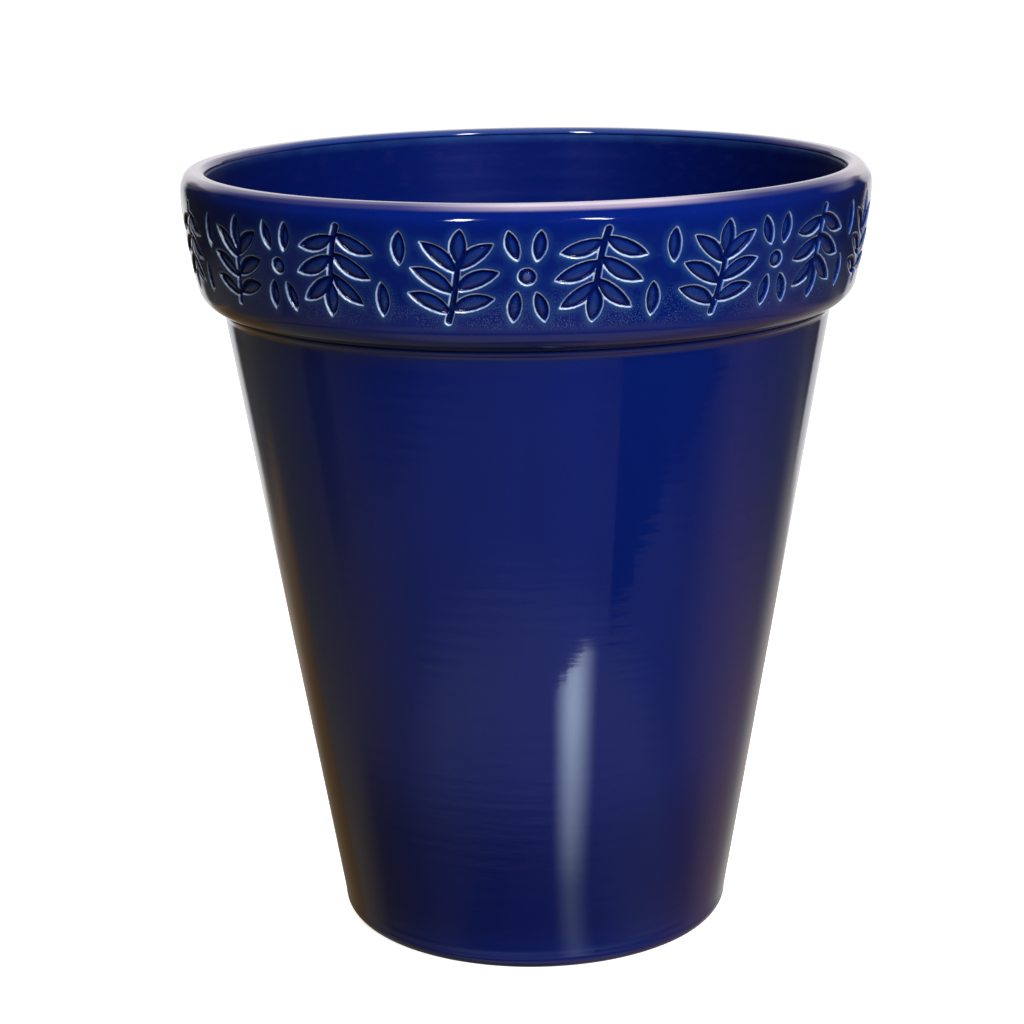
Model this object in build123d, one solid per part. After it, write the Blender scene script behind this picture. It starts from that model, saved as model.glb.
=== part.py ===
from build123d import *
import math
import os

# Glazed terracotta garden pot: a tall tapered pot with a heavy collar round the rim.
# Millimetres, +Z up. The origin is the centre of the foot, on the ground plane, and the
# pot's axis is Z. Every piece is a revolved section. Points are (radius, height), drawn
# in the XZ plane.

# ---------------------------------------------------------------- dimensions
height = 342.0              # ground to the top of the lip
glaze = 0.6                 # thickness of the fired glaze coat

# tapered wall, finished (glazed) outer surface: radius = wall_r0 + wall_slope * z
wall_r0 = 87.5
wall_slope = 0.1638

# foot: a flat ring with a rounded outer edge and a shallow recess inside
foot_outer_r = 84.6
foot_inner_r = 73.5
foot_z = 0.0
foot_round_z = 3.8          # height where the rounded edge meets the wall
bare_z = 1.6                # the glaze stops this far above the ground
bare_edge = (foot_outer_r + 2.55, bare_z)
bare_round_mid = (foot_outer_r + 1.75, 0.55)    # on the round below bare_edge
glazed_round_mid = (87.78, 2.6)                 # on the round above bare_edge
recess_z = 4.0              # ceiling of the recess
recess_taper = 3.5          # the recess narrows by this much in radius up to its ceiling

# floor and drain hole
floor_z = 15.0              # finished floor inside
drain_r = 13.0
dry_ring = 1.5              # unglazed ring of clay round the drain hole, inside
corner_r = 70.0             # floor radius where the corner round starts
corner_mid = (78.1, 18.6)   # on the corner round
corner_z = 27.0             # height where the corner round ends on the wall

# inner wall, finished surface
inner_r_corner = 81.4       # inner radius at corner_z
inner_r_seat = 124.9        # inner radius at seat_z
inner_r_lip = 138.8         # inner radius at lip_in_z
seat_z = 284.0              # top of the tapered body, where the collar sits

# coil smoothed under the collar, finished outer surface
coil_z = 279.6              # lower edge
coil_mid = (134.35, 280.75)     # on the coil's round
coil_top = (134.6, 282.2)       # where the coil meets the collar's underside
bevel_r = 130.6             # the body's rim is bevelled from the coil's lower edge to here

# collar, finished outer surface
underside_mid = (140.2, 285.0)  # on the rounded underside
belly = (144.0, 291.0)          # crease between the underside and the face
face_mid = (147.5, 308.6)       # middle of the gently bellied face
lip_r = 150.0               # widest radius, at the lip
lip_face_z = 333.0          # top of the face, where the lip's outer round starts
lip_flat_out = 145.5        # flat top of the lip, outer radius
lip_flat_in = 141.8         # flat top of the lip, inner radius
lip_in_mid = (139.68, 341.12)   # on the lip's inner round
lip_in_z = 339.0            # where the lip's inner round ends

# surface inside the wall's thickness where the inner and outer glaze zones meet
mid_low = (84.5, 8)
mid_high = (129.0, 283)
mid_lip = (143.5, lip_in_z)
coat_z = coil_top[1] + 0.2  # height where the outer and collar coats meet

# limits that keep the cutting zones clear of the pot
clear_r = 165
clear_z = 350
clear_inner_r = 100         # inside the collar


# ---------------------------------------------------------------- drawing helpers
def outline(start, *steps):
    """Face inside a closed outline. A step is [end] for a line, [middle, end] for an arc."""
    edges = []
    for step in steps:
        points = [(x, 0, z) for x, z in (start, *step)]
        edges.append(Line(*points) if len(points) == 2 else ThreePointArc(*points))
        start = step[-1]
    return make_face(Wire(edges))


def polygon(*points):
    return outline(points[0], *[[point] for point in points[1:] + points[:1]])


def turn(section):
    """Revolves a section (one or more faces) about the pot's axis."""
    solids = [
        solid
        for face in section.faces()
        for solid in revolve(face, axis=Axis.Z, revolution_arc=360).solids()
    ]
    solids = [solid if solid.volume > 0 else -solid for solid in solids]
    return solids[0] if len(solids) == 1 else Compound(children=solids)


# ---------------------------------------------------------------- points on the pot
def shift(point, inset, across, up):
    """Moves a point into the pot: inset times the direction (across, up)."""
    return (point[0] + inset * across, point[1] + inset * up)


def inset_across(inset, slope):
    """An inset from a sloping wall, measured along the radius."""
    return inset * (1 + slope**2) ** 0.5


def wall(z, inset=0.0):
    """Radius of the outer wall at height z, inset from its finished surface."""
    return wall_r0 + wall_slope * z - inset_across(inset, wall_slope)


def coil_low_at(inset):
    return (wall(coil_z, inset), coil_z + inset * 0.25)


def coil_top_at(inset):
    return shift(coil_top, inset, -0.25, 0.75)


def lip_point(degrees, inset):
    """A point on the lip's outer round, a quarter ellipse."""
    angle = math.radians(degrees)
    across = lip_r - lip_flat_out - inset
    tall = height - lip_face_z - inset
    return (lip_flat_out + across * math.cos(angle), lip_face_z + tall * math.sin(angle))


# ---------------------------------------------------------------- whole section
def pot_section(inset):
    """The pot's whole section, inset from its finished surfaces.

    With inset 0 this is clay and glaze together; with inset = glaze it is the clay alone.
    The underside of the foot, the recess and the drain hole are dry, so they keep their
    place in both."""
    inner_slope = (inner_r_seat - inner_r_corner) / (seat_z - corner_z)
    flare_slope = (inner_r_lip - inner_r_seat) / (lip_in_z - seat_z)
    inner_inset = inset_across(inset, inner_slope)
    flare_inset = inset_across(inset, flare_slope)

    wall_start = (wall(foot_round_z, inset), foot_round_z)
    drain_top = (drain_r, floor_z)
    if inset == 0:
        foot_steps = [[glazed_round_mid, wall_start]]
        floor_steps = [[drain_top]]
    else:
        # the clay steps in under the glaze's edges
        dry_r = drain_r + dry_ring
        foot_steps = [[shift(bare_edge, inset, -1, 0)], [wall_start]]
        floor_steps = [[(dry_r, floor_z - inset)], [(dry_r, floor_z)], [drain_top]]

    return outline(
        drain_top,
        # drain hole, recess and foot
        [(drain_r, recess_z)],
        [(foot_inner_r - recess_taper, recess_z)],
        [(foot_inner_r, foot_z)],
        [(foot_outer_r, foot_z)],
        [bare_round_mid, bare_edge],
        *foot_steps,
        # outer wall and coil
        [coil_low_at(inset)],
        [shift(coil_mid, inset, -0.85, 0.3), coil_top_at(inset)],
        # collar's underside and face
        [shift(underside_mid, inset, -0.72, 0.68), shift(belly, inset, -1, 0)],
        [shift(face_mid, inset, -1, 0), (lip_r - inset, lip_face_z)],
        # lip
        [lip_point(20, inset), lip_point(40, inset)],
        [lip_point(64, inset), (lip_flat_out, height - inset)],
        [(lip_flat_in, height - inset)],
        [shift(lip_in_mid, inset, 0.71, -0.71), (inner_r_lip + flare_inset, lip_in_z)],
        # inner wall, corner and floor
        [(inner_r_seat + inner_inset, seat_z)],
        [(inner_r_corner + inner_inset, corner_z)],
        [shift(corner_mid, inset, 0.72, -0.7), (corner_r, floor_z - inset)],
        *floor_steps,
    )


clay = pot_section(glaze)
coat = pot_section(0.0) - clay      # the whole glaze coat, inside and out

clay_coil_low = coil_low_at(glaze)
clay_coil_top = coil_top_at(glaze)
clay_seat_edge = (wall(seat_z, glaze), seat_z)
bevel_top = (bevel_r, seat_z)

mid_share = (coat_z - mid_low[1]) / (mid_high[1] - mid_low[1])
mid_coat = (mid_low[0] + (mid_high[0] - mid_low[0]) * mid_share, coat_z)


# ---------------------------------------------------------------- clay
def make_clay_body():
    """The thrown body up to the seat, its outer rim bevelled to leave room for the coil."""
    zone_bottom = -2
    foot_top = 10           # the zone is widened below here to take in the whole foot
    foot_zone_r = wall(zone_bottom, glaze) + 3.0
    return turn(clay & polygon(
        (0, zone_bottom), (foot_zone_r, zone_bottom), (foot_zone_r, foot_top),
        (wall(foot_top, glaze), foot_top), clay_coil_low, bevel_top, (0, seat_z),
    ))


def make_luting_coil():
    """The coil in the corner between the body's bevelled rim and the collar."""
    return turn(clay & polygon(
        clay_coil_low, (clear_r, clay_coil_low[1]), (clear_r, clay_coil_top[1]),
        clay_coil_top, clay_seat_edge, bevel_top,
    ))


def make_rim_collar():
    """The collar ring on the body and coil, its lower edge slanting down outside the coil."""
    return turn(clay & polygon(
        clay_coil_top, (clear_r, clay_coil_top[1]), (clear_r, clear_z),
        (clear_inner_r, clear_z), (clear_inner_r, seat_z), clay_seat_edge,
    ))


# ---------------------------------------------------------------- glaze
def make_outer_glaze():
    """The coat on the outside of the tapered body and the coil."""
    zone_r = 80
    zone_bottom = -1
    return turn(coat & polygon(
        (zone_r, zone_bottom), (clear_r, zone_bottom), (clear_r, coat_z),
        mid_coat, mid_low, (zone_r, mid_low[1]),
    ))


def make_inner_glaze():
    """The coat on the floor and the inner wall, up to the lip's inner round."""
    return turn(coat & polygon((0, mid_low[1]), mid_low, mid_high, mid_lip, (0, lip_in_z)))


def make_collar_glaze():
    """The coat on the outside of the collar and over the lip."""
    return turn(coat & polygon(
        mid_coat, (clear_r, coat_z), (clear_r, clear_z),
        (clear_inner_r, clear_z), (clear_inner_r, lip_in_z), mid_lip, mid_high,
    ))


# ---------------------------------------------------------------- export
pieces = {
    "clay_body": make_clay_body(),
    "luting_coil": make_luting_coil(),
    "rim_collar": make_rim_collar(),
    "outer_glaze": make_outer_glaze(),
    "inner_glaze": make_inner_glaze(),
    "collar_glaze": make_collar_glaze(),
}
os.makedirs("parts", exist_ok=True)
for name, piece in pieces.items():
    export_step(piece, f"parts/{name}.step")
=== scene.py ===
import math

import bmesh
import bpy
import numpy as np
from mathutils import Matrix, Vector
from mathutils.geometry import delaunay_2d_cdt


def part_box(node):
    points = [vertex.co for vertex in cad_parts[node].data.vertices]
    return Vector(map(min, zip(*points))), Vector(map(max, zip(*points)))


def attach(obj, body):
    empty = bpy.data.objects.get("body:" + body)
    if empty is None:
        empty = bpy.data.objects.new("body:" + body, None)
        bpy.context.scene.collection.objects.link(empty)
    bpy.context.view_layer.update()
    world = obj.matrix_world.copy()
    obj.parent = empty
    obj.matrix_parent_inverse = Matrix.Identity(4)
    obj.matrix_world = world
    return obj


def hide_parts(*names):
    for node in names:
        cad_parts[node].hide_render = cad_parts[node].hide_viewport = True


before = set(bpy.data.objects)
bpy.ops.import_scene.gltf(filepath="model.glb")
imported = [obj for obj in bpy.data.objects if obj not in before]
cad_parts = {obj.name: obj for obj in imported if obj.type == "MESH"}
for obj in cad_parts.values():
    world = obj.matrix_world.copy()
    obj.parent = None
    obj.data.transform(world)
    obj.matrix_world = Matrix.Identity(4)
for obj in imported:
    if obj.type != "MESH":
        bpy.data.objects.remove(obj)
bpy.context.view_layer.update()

# ------------------------------------------------------------------ section, in mm
# The same section as the CAD nodes; the frame's boxes below confirm it.
TAU = 2 * math.pi
GLAZE = 0.6
R0, SLOPE = 87.5, 0.1638
SEAT = (124.9, 284.0)
CORNER = (81.4, 27.0)
BAND_LO, BAND_HI = 291.0, 336.0


def arc(a, m, b, n):
    """n + 1 points of the circular arc from a through m to b."""
    ax, ay = a
    bx, by = m
    cx, cy = b
    d = 2 * (ax * (by - cy) + bx * (cy - ay) + cx * (ay - by))
    ux = ((ax**2 + ay**2) * (by - cy) + (bx**2 + by**2) * (cy - ay) + (cx**2 + cy**2) * (ay - by)) / d
    uy = ((ax**2 + ay**2) * (cx - bx) + (bx**2 + by**2) * (ax - cx) + (cx**2 + cy**2) * (bx - ax)) / d
    r = math.hypot(ax - ux, ay - uy)
    t0, tm, t1 = (math.atan2(p[1] - uy, p[0] - ux) for p in (a, m, b))
    while tm - t0 > math.pi:
        tm -= TAU
    while tm - t0 < -math.pi:
        tm += TAU
    while t1 - tm > math.pi:
        t1 -= TAU
    while t1 - tm < -math.pi:
        t1 += TAU
    return [(ux + r * math.cos(t0 + (t1 - t0) * i / n), uy + r * math.sin(t0 + (t1 - t0) * i / n)) for i in range(n + 1)]


def seg(a, b, n):
    return [(a[0] + (b[0] - a[0]) * i / n, a[1] + (b[1] - a[1]) * i / n) for i in range(n + 1)]


def chain(*runs):
    out = [runs[0][0]]
    for run in runs:
        out += [p for p in run[1:]]
    return out


def wall(z):
    return R0 + SLOPE * z


def lip_point(degrees, g=0.0):
    """A point on the lip's outer round, a quarter ellipse, g mm inside the finished surface."""
    t = math.radians(degrees)
    return (145.5 + (4.5 - g) * math.cos(t), 333.0 + (9.0 - g) * math.sin(t))


_f = chain(arc((144.0, 291.0), (147.5, 308.6), (150.0, 333.0), 400), arc((150.0, 333.0), lip_point(20), lip_point(40), 60))
FACE_R = np.array([p[0] for p in _f])
FACE_Z = np.array([p[1] for p in _f])


def face_r(z):
    return np.interp(z, FACE_Z, FACE_R)


for node, radius, top in (("collar_glaze", 150.0, 342.0), ("outer_glaze", 135.4, 282.4), ("inner_glaze", 139.4, 339.0)):
    lo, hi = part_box(node)
    assert abs(hi.x * 1000 - radius) < 0.5 and abs(hi.z * 1000 - top) < 0.5, (node, hi)


def ease(z, lo, hi):
    t = np.clip((z - lo) / (hi - lo), 0, 1)
    return t * t * (3 - 2 * t)


NIP_Z = (335.9, 336.76, 337.8, 339.1, 340.5, 341.4, 342.0)
NIP_R = (0.0, 0.27, 0.71, 1.21, 1.59, 1.70, 1.80)


def by_hand(points):
    """The rim as the hand left it: a little low at the front, its outer corner pressed back at the front and right."""
    p = np.array(points, float)
    r, phi = np.hypot(p[:, 0], p[:, 1]), np.arctan2(p[:, 0], -p[:, 1])
    nip = (0.5 + 0.5 * np.cos(phi - 0.8)) * np.interp(p[:, 2], NIP_Z, NIP_R) * np.clip((r - 141.8) / 3.7, 0, 1)
    k = (r - nip) / r
    return np.stack([p[:, 0] * k, p[:, 1] * k, p[:, 2] - 0.45 * (1 + np.cos(phi)) * ease(p[:, 2], 322.0, 338.0)], 1)


# ------------------------------------------------------------------ smooth noise
def noise1(x, period, seed, octaves=3):
    """Smooth periodic noise in about -1..1."""
    rng = np.random.RandomState(seed)
    out = np.zeros_like(x, dtype=float)
    for k in range(octaves):
        n = 2**k
        out += np.cos(TAU * x * (n + k) / period + rng.rand() * TAU) * rng.uniform(0.5, 1.0) / (k + 1.3)
    return out


def wobble(phi, z):
    """Slow unevenness of a hand-thrown wall, 0 to about 1."""
    w = 0.34 * np.cos(2 * phi + 0.6 + z / 170.0) + 0.2 * np.cos(3 * phi - 1.1 - z / 90.0)
    w += 0.12 * np.cos(5 * phi + z / 60.0) + 0.22 * np.sin(z / 41.0 + 0.5 * np.sin(phi)) + 0.12 * np.sin(z / 17.0 + phi)
    return 0.5 + 0.5 * w


def rings(z, phi):
    """Throwing rings, a spiral that climbs with the turn, -1 to 1."""
    t = z + phi / TAU * 7.3
    return 0.55 * np.sin(TAU * t / 7.3) + 0.3 * np.sin(TAU * t / 3.65 + 1.0 + 0.8 * np.sin(z / 23.0)) + 0.15 * np.sin(TAU * (z + phi / TAU * 2.1) / 2.1)


# ------------------------------------------------------------------ mesh helpers
def new_mesh(name, verts, faces, attrs=None, normals=None):
    me = bpy.data.meshes.new(name)
    me.from_pydata([tuple(v) for v in (np.asarray(verts) / 1000.0)], [], faces)
    me.update()
    for key, values in (attrs or {}).items():
        values = np.asarray(values, np.float32)
        if values.ndim == 1:
            a = me.attributes.new(key, "FLOAT", "POINT")
            a.data.foreach_set("value", values)
        else:
            a = me.attributes.new(key, "FLOAT_VECTOR", "POINT")
            a.data.foreach_set("vector", values.ravel())
    me.polygons.foreach_set("use_smooth", [True] * len(me.polygons))
    if normals is not None:
        me.normals_split_custom_set_from_vertices([tuple(n) for n in normals])
    ob = bpy.data.objects.new(name, me)
    bpy.context.scene.collection.objects.link(ob)
    return ob


def revolve_grid(profile, nseg, shift=None):
    """Vertices of a closed or open profile turned about Z: array (rows, nseg, 3). shift(phi, z, r) moves points out."""
    pr = np.asarray(profile, float)
    phi = np.arange(nseg) * TAU / nseg
    r = np.repeat(pr[:, :1], nseg, 1)
    z = np.repeat(pr[:, 1:], nseg, 1)
    ph = np.repeat(phi[None], len(pr), 0)
    if shift is not None:
        r, z = shift(ph, z, r)
    # phi 0 faces -Y and grows towards +X
    return np.stack([r * np.sin(ph), -r * np.cos(ph), z], 2)


def ring_faces(base_a, base_b, nseg, flip=False):
    out = []
    for j in range(nseg):
        k = (j + 1) % nseg
        q = (base_a + j, base_a + k, base_b + k, base_b + j)
        out.append(q[::-1] if flip else q)
    return out


def revolve(name, profile, nseg, shift=None, closed=True, attrs=None):
    """A solid of revolution. The profile runs anticlockwise in (r, z) so that faces point out."""
    g = revolve_grid(profile, nseg, shift)
    rows = len(g)
    faces = []
    for i in range(rows if closed else rows - 1):
        faces += ring_faces(i * nseg, ((i + 1) % rows) * nseg, nseg)
    flat = g.reshape(-1, 3)
    made = {}
    for key, fn in (attrs or {}).items():
        made[key] = fn(flat, np.repeat(np.arange(rows), nseg))
    return new_mesh(name, flat, faces, made)


# ------------------------------------------------------------------ frieze drawing
UNITS = 9
UNIT = TAU * 147.0 / UNITS          # mm of arc per repeat
BAND = BAND_HI - BAND_LO


def spline(points, n=70):
    """Catmull-Rom curve through the points."""
    p = np.array(points, float)
    p = np.vstack([2 * p[0] - p[1], p, 2 * p[-1] - p[-2]])
    out = []
    spans = len(p) - 3
    for i in range(spans):
        t = np.linspace(0, 1, max(6, n // spans), endpoint=(i == spans - 1))[:, None]
        a, b, c, d = p[i], p[i + 1], p[i + 2], p[i + 3]
        out.append(0.5 * (2 * b + (c - a) * t + (2 * a - 5 * b + 4 * c - d) * t**2 + (3 * b - a - 3 * c + d) * t**3))
    return np.vstack(out)


def twig(points, w0, w1, bulb=0.0):
    c = spline(points)
    s = np.linspace(0, 1, len(c))
    w = (w0 + (w1 - w0) * s) / 2
    w = w + bulb * np.exp(-(((s - 0.97) / 0.07) ** 2))
    return c, w


def leaf(base, tip, width, bend=0.0, fat=0.5, stalk=0.0):
    """A pointed leaf from base to tip, widest at fat of its length."""
    b, t = np.array(base, float), np.array(tip, float)
    d = t - b
    side = np.array([-d[1], d[0]]) / np.hypot(*d)
    c = spline([b, b + d * 0.5 + side * bend, t], 90)
    s = np.linspace(0, 1, len(c))
    u = np.where(s < fat, 0.5 * s / fat, 0.5 + 0.5 * (s - fat) / (1 - fat))
    w = width / 2 * np.sin(np.pi * u) ** 0.86
    return c, np.maximum(w, np.where(s < 0.5, stalk / 2, 0.12))


def sprig(turn):
    """A stem with three pairs of leaves and one at its tip, and three small leaves beside it.
    With turn it hangs instead: the same drawing, given a half turn."""
    def at(u, v):
        return (-u, 50.0 - v) if turn else (u, v)

    return [
        twig([at(-29.8, 6.8), at(-28.0, 13.0), at(-26.6, 20.0), at(-25.4, 28.0), at(-25.0, 31.0)], 2.4, 2.0),
        leaf(at(-25.2, 29.6), at(-24.0, 43.4), 6.0, 0.3, 0.48),
        leaf(at(-28.6, 10.0), at(-44.4, 17.6), 6.0, -0.8, 0.5, 0.8),
        leaf(at(-26.9, 18.0), at(-42.8, 27.6), 6.2, -0.8, 0.5, 0.8),
        leaf(at(-25.6, 26.2), at(-38.8, 38.0), 5.8, -0.7, 0.5, 0.8),
        leaf(at(-28.2, 11.4), at(-12.4, 16.2), 6.0, 0.8, 0.5, 0.8),
        leaf(at(-26.7, 19.4), at(-10.4, 26.6), 6.2, 0.8, 0.5, 0.8),
        leaf(at(-25.6, 27.4), at(-12.2, 37.6), 5.8, 0.7, 0.5, 0.8),
        leaf(at(-47.4, 28.8), at(-47.0, 42.0), 5.0, 0.3, 0.5),
        leaf(at(-3.4, 31.4), at(-6.4, 42.8), 4.8, 0.3, 0.5),
        leaf(at(3.6, 31.2), at(5.4, 43.0), 4.8, -0.3, 0.5),
    ]


# a plain border: sprigs that stand and hang in turn, with a berry between them
STROKES = sprig(False) + sprig(True)
BERRY = (0.0, 25.0, 3.15)


def field(u, v):
    """Signed distance to the drawing's edge at (u, v), in mm, negative inside; and whether the berry is nearer."""
    v = v + 2.0             # the drawing is laid out from 2 mm below the band
    d = np.full(u.shape, 99.0)
    for c, w in STROKES:
        for (cu, cv), cw in zip(c, w):
            du = np.mod(u - cu + UNIT / 2, UNIT) - UNIT / 2
            np.minimum(d, np.sqrt(du * du + (v - cv) ** 2) - cw, out=d)
    du = np.mod(u - BERRY[0] + UNIT / 2, UNIT) - UNIT / 2
    rb = np.sqrt(du * du + (v - BERRY[1]) ** 2)
    berry = (rb - BERRY[2]) < d
    return np.minimum(d, rb - BERRY[2]), berry, rb


def relief(d, berry, rb, v):
    """Height of the pressed surface, in mm, 0 on the plain face."""
    out = 0.12 * np.exp(-(((d - 0.75) / 0.45) ** 2)) - 0.34 * np.exp(-np.maximum(d, 0) / 0.42)
    t = np.clip(-d / 0.55, 0, 1)
    drop = -0.33254 - 1.12746 * t * t * (3 - 2 * t)
    pillow = np.where(-d > 0.55, 1.0 * (1 - np.exp(-(np.maximum(-d, 0.55) - 0.55) / 1.5)), 0.0)
    inside = drop + pillow
    dome = -1.46 + 1.4 * np.sqrt(np.clip(1 - (rb / 2.62) ** 2, 0, 1))
    inside = np.where(berry & (rb < 2.62), np.maximum(dome, -1.46), inside)
    h = np.where(d < 0, inside, out)
    fade = 1 - np.clip((v - (BAND - 4.6)) / 4.0, 0, 1)
    fade = fade * fade * (3 - 2 * fade)
    return h * fade, fade


NU, NV = 416, 190
_u = np.linspace(-UNIT / 2, UNIT / 2, NU + 1)
_v = np.linspace(0, BAND, NV + 1)
GU, GV = np.meshgrid(_u, _v)
FD, FB, FR = field(GU, GV)
FD[:, -1] = FD[:, 0]
# a slightly pressed-by-hand edge: the outline wanders by a few hundredths
FD = FD + 0.05 * np.sin(GU * TAU / UNIT * 31 + GV * 0.9) * np.sin(GV * 1.3 + 0.4)
FD[:, -1] = FD[:, 0]
GRAD_V, GRAD_U = np.gradient(FD, _v[1] - _v[0], _u[1] - _u[0])
_gl = np.sqrt(GRAD_U**2 + GRAD_V**2) + 1e-9
GRAD_U, GRAD_V = GRAD_U / _gl, GRAD_V / _gl


def sample(grid, u, v):
    """Bilinear reading of a grid over the unit."""
    x = (np.asarray(u) + UNIT / 2) / UNIT * NU
    y = np.asarray(v) / BAND * NV
    x = np.clip(x, 0, NU - 1e-6)
    y = np.clip(y, 0, NV - 1e-6)
    i, j = x.astype(int), y.astype(int)
    fx, fy = x - i, y - j
    return (grid[j, i] * (1 - fx) + grid[j, i + 1] * fx) * (1 - fy) + (grid[j + 1, i] * (1 - fx) + grid[j + 1, i + 1] * fx) * fy


def contour_lines(level):
    """Chains of points where the distance field crosses a level."""
    F = FD - level
    F = np.where(np.abs(F) < 1e-7, 1e-7, F)
    S = F > 0
    pts, links = {}, {}

    def cross_h(j, i):
        k = ("h", j, i)
        if k not in pts:
            t = F[j, i] / (F[j, i] - F[j, i + 1])
            pts[k] = (_u[i] + t * (_u[i + 1] - _u[i]), _v[j])
        return k

    def cross_v(j, i):
        k = ("v", j, i)
        if k not in pts:
            t = F[j, i] / (F[j, i] - F[j + 1, i])
            pts[k] = (_u[i], _v[j] + t * (_v[j + 1] - _v[j]))
        return k

    mixed = (S[:-1, :-1] != S[:-1, 1:]) | (S[:-1, :-1] != S[1:, :-1]) | (S[:-1, :-1] != S[1:, 1:])
    for j, i in zip(*np.nonzero(mixed)):
        e = []
        if S[j, i] != S[j, i + 1]:
            e.append(cross_h(j, i))
        if S[j, i + 1] != S[j + 1, i + 1]:
            e.append(cross_v(j, i + 1))
        if S[j + 1, i] != S[j + 1, i + 1]:
            e.append(cross_h(j + 1, i))
        if S[j, i] != S[j + 1, i]:
            e.append(cross_v(j, i))
        for a, b in zip(e[::2], e[1::2]):
            links.setdefault(a, []).append(b)
            links.setdefault(b, []).append(a)
    chains, seen = [], set()
    ends = [k for k, n in links.items() if len(n) == 1]
    for start in ends + list(links):
        if start in seen:
            continue
        walk, here, prev = [start], start, None
        seen.add(start)
        while True:
            nxt = [n for n in links[here] if n != prev and n not in seen]
            if not nxt:
                break
            prev, here = here, nxt[0]
            seen.add(here)
            walk.append(here)
        closed = len(walk) > 2 and walk[0] in links[walk[-1]]
        chains.append((np.array([pts[k] for k in walk]), closed))
    return chains


def thin_out(c, closed, far=1.05, turn=0.26, near=0.24):
    """Keeps the points of a chain that carry its shape."""
    if len(c) < 4:
        return None
    keep = [0]
    last = c[0]
    run, angle = 0.0, 0.0
    for i in range(1, len(c) - 1):
        a, b = c[i] - c[i - 1], c[i + 1] - c[i]
        run += np.hypot(*a)
        angle += math.atan2(a[0] * b[1] - a[1] * b[0], a[0] * b[0] + a[1] * b[1])
        if run >= near and (abs(angle) > turn or run > far):
            keep.append(i)
            run, angle = 0.0, 0.0
    keep.append(len(c) - 1)
    if closed and np.hypot(*(c[keep[-1]] - c[0])) < near:
        keep = keep[:-1]
    if len(keep) < (3 if closed else 2):
        return None
    return c[keep]


def smooth_chain(c, closed):
    """Takes the grid's jitter out of a chain without moving its ends."""
    for _ in range(2):
        if closed:
            c = 0.25 * np.roll(c, 1, 0) + 0.5 * c + 0.25 * np.roll(c, -1, 0)
        elif len(c) > 4:
            d = c.copy()
            d[1:-1] = 0.25 * c[:-2] + 0.5 * c[1:-1] + 0.25 * c[2:]
            c = d
    return c


COLS = 40                       # columns of the plain collar per unit
LEVELS = (2.6, 1.45, 0.8, 0.34, 0.0, -0.24, -0.55, -1.15, -2.1, -3.0)


def frieze_unit():
    """Triangles of one repeat: (u, v) points and faces. Left and right borders match."""
    verts, edges = [], []

    def add(chain_pts, closed):
        base = len(verts)
        verts.extend([(float(a), float(b)) for a, b in chain_pts])
        n = len(chain_pts)
        edges.extend([(base + i, base + i + 1) for i in range(n - 1)])
        if closed:
            edges.append((base + n - 1, base))

    side_v = {0.0, BAND}
    for level in LEVELS:
        far = 1.9 if level > 2 else (1.35 if abs(level) > 1 else 1.0)
        for c, closed in contour_lines(level):
            # lines stop short of the band's top and bottom edges
            inside = (c[:, 1] > 0.35) & (c[:, 1] < BAND - 0.35)
            if not inside.any():
                continue
            if closed and inside.all():
                runs = [(c, True)]
            else:
                if closed:
                    first_out = int(np.nonzero(~inside)[0][0])
                    c, inside = np.roll(c, -first_out, 0), np.roll(inside, -first_out)
                cuts = np.nonzero(np.diff(inside.astype(int)))[0] + 1
                runs = [(part, False) for part, flag in zip(np.split(c, cuts), np.split(inside, cuts)) if flag[0]]
            for part, loop in runs:
                ends = [e for e in (part[0], part[-1]) if abs(abs(e[0]) - UNIT / 2) < 1e-6]
                length = np.hypot(*np.diff(part, axis=0).T).sum() if len(part) > 1 else 0
                if length < 1.2 and not ends:
                    continue
                side_v.update(round(float(e[1]), 7) for e in ends)
                thin = thin_out(smooth_chain(part, loop), loop, far, 0.25 if abs(level) < 1 else 0.34)
                if thin is None:
                    if not ends:
                        continue
                    thin = part[[0, -1]] if len(part) > 1 else part
                add(thin, loop)
    # background points, away from the lines
    step = UNIT / COLS
    for row in range(1, int(BAND / 2.6)):
        v = BAND * row / int(BAND / 2.6)
        for col in range(COLS + 1):
            u = -UNIT / 2 + (col + 0.5 * (row % 2)) * step
            if abs(u) > UNIT / 2 - 0.8:
                continue
            d = float(sample(FD, u, v))
            if d > 3.3 or (-9 < d < -1.6 and min(abs(d - x) for x in LEVELS) > 0.42):
                verts.append((u, v))
    # borders: top and bottom rows match the plain rings next to them
    for v in (0.0, BAND):
        base = len(verts)
        for col in range(COLS + 1):
            verts.append((-UNIT / 2 + col * step, v))
        edges.extend([(base + k, base + k + 1) for k in range(COLS)])
    # both side borders get the same points, so that neighbouring repeats meet
    for _attempt in range(4):
        side = sorted(side_v)
        filled = [side[0]]
        for x in side[1:]:
            gap = x - filled[-1]
            n = int(gap // 2.6)
            start = filled[-1]
            filled.extend(start + gap * k / (n + 1) for k in range(1, n + 1))
            filled.append(x)
        pv, pe = list(verts), list(edges)
        for u in (-UNIT / 2, UNIT / 2):
            base = len(pv)
            pv.extend([(u, x) for x in filled])
            pe.extend([(base + k, base + k + 1) for k in range(len(filled) - 1)])
        out_v, _e, out_f, _a, _b, _c = delaunay_2d_cdt([Vector(p) for p in pv], pe, [], 0, 1e-5, False)
        out_v = np.array([tuple(p) for p in out_v])
        left = out_v[np.abs(out_v[:, 0] + UNIT / 2) < 1e-4, 1]
        right = out_v[np.abs(out_v[:, 0] - UNIT / 2) < 1e-4, 1]
        odd = [x for x in left if np.abs(right - x).min() > 1e-3] + [x for x in right if np.abs(left - x).min() > 1e-3]
        if not odd:
            break
        side_v.update(float(x) for x in odd)
    return out_v, [tuple(f) for f in out_f]


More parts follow.
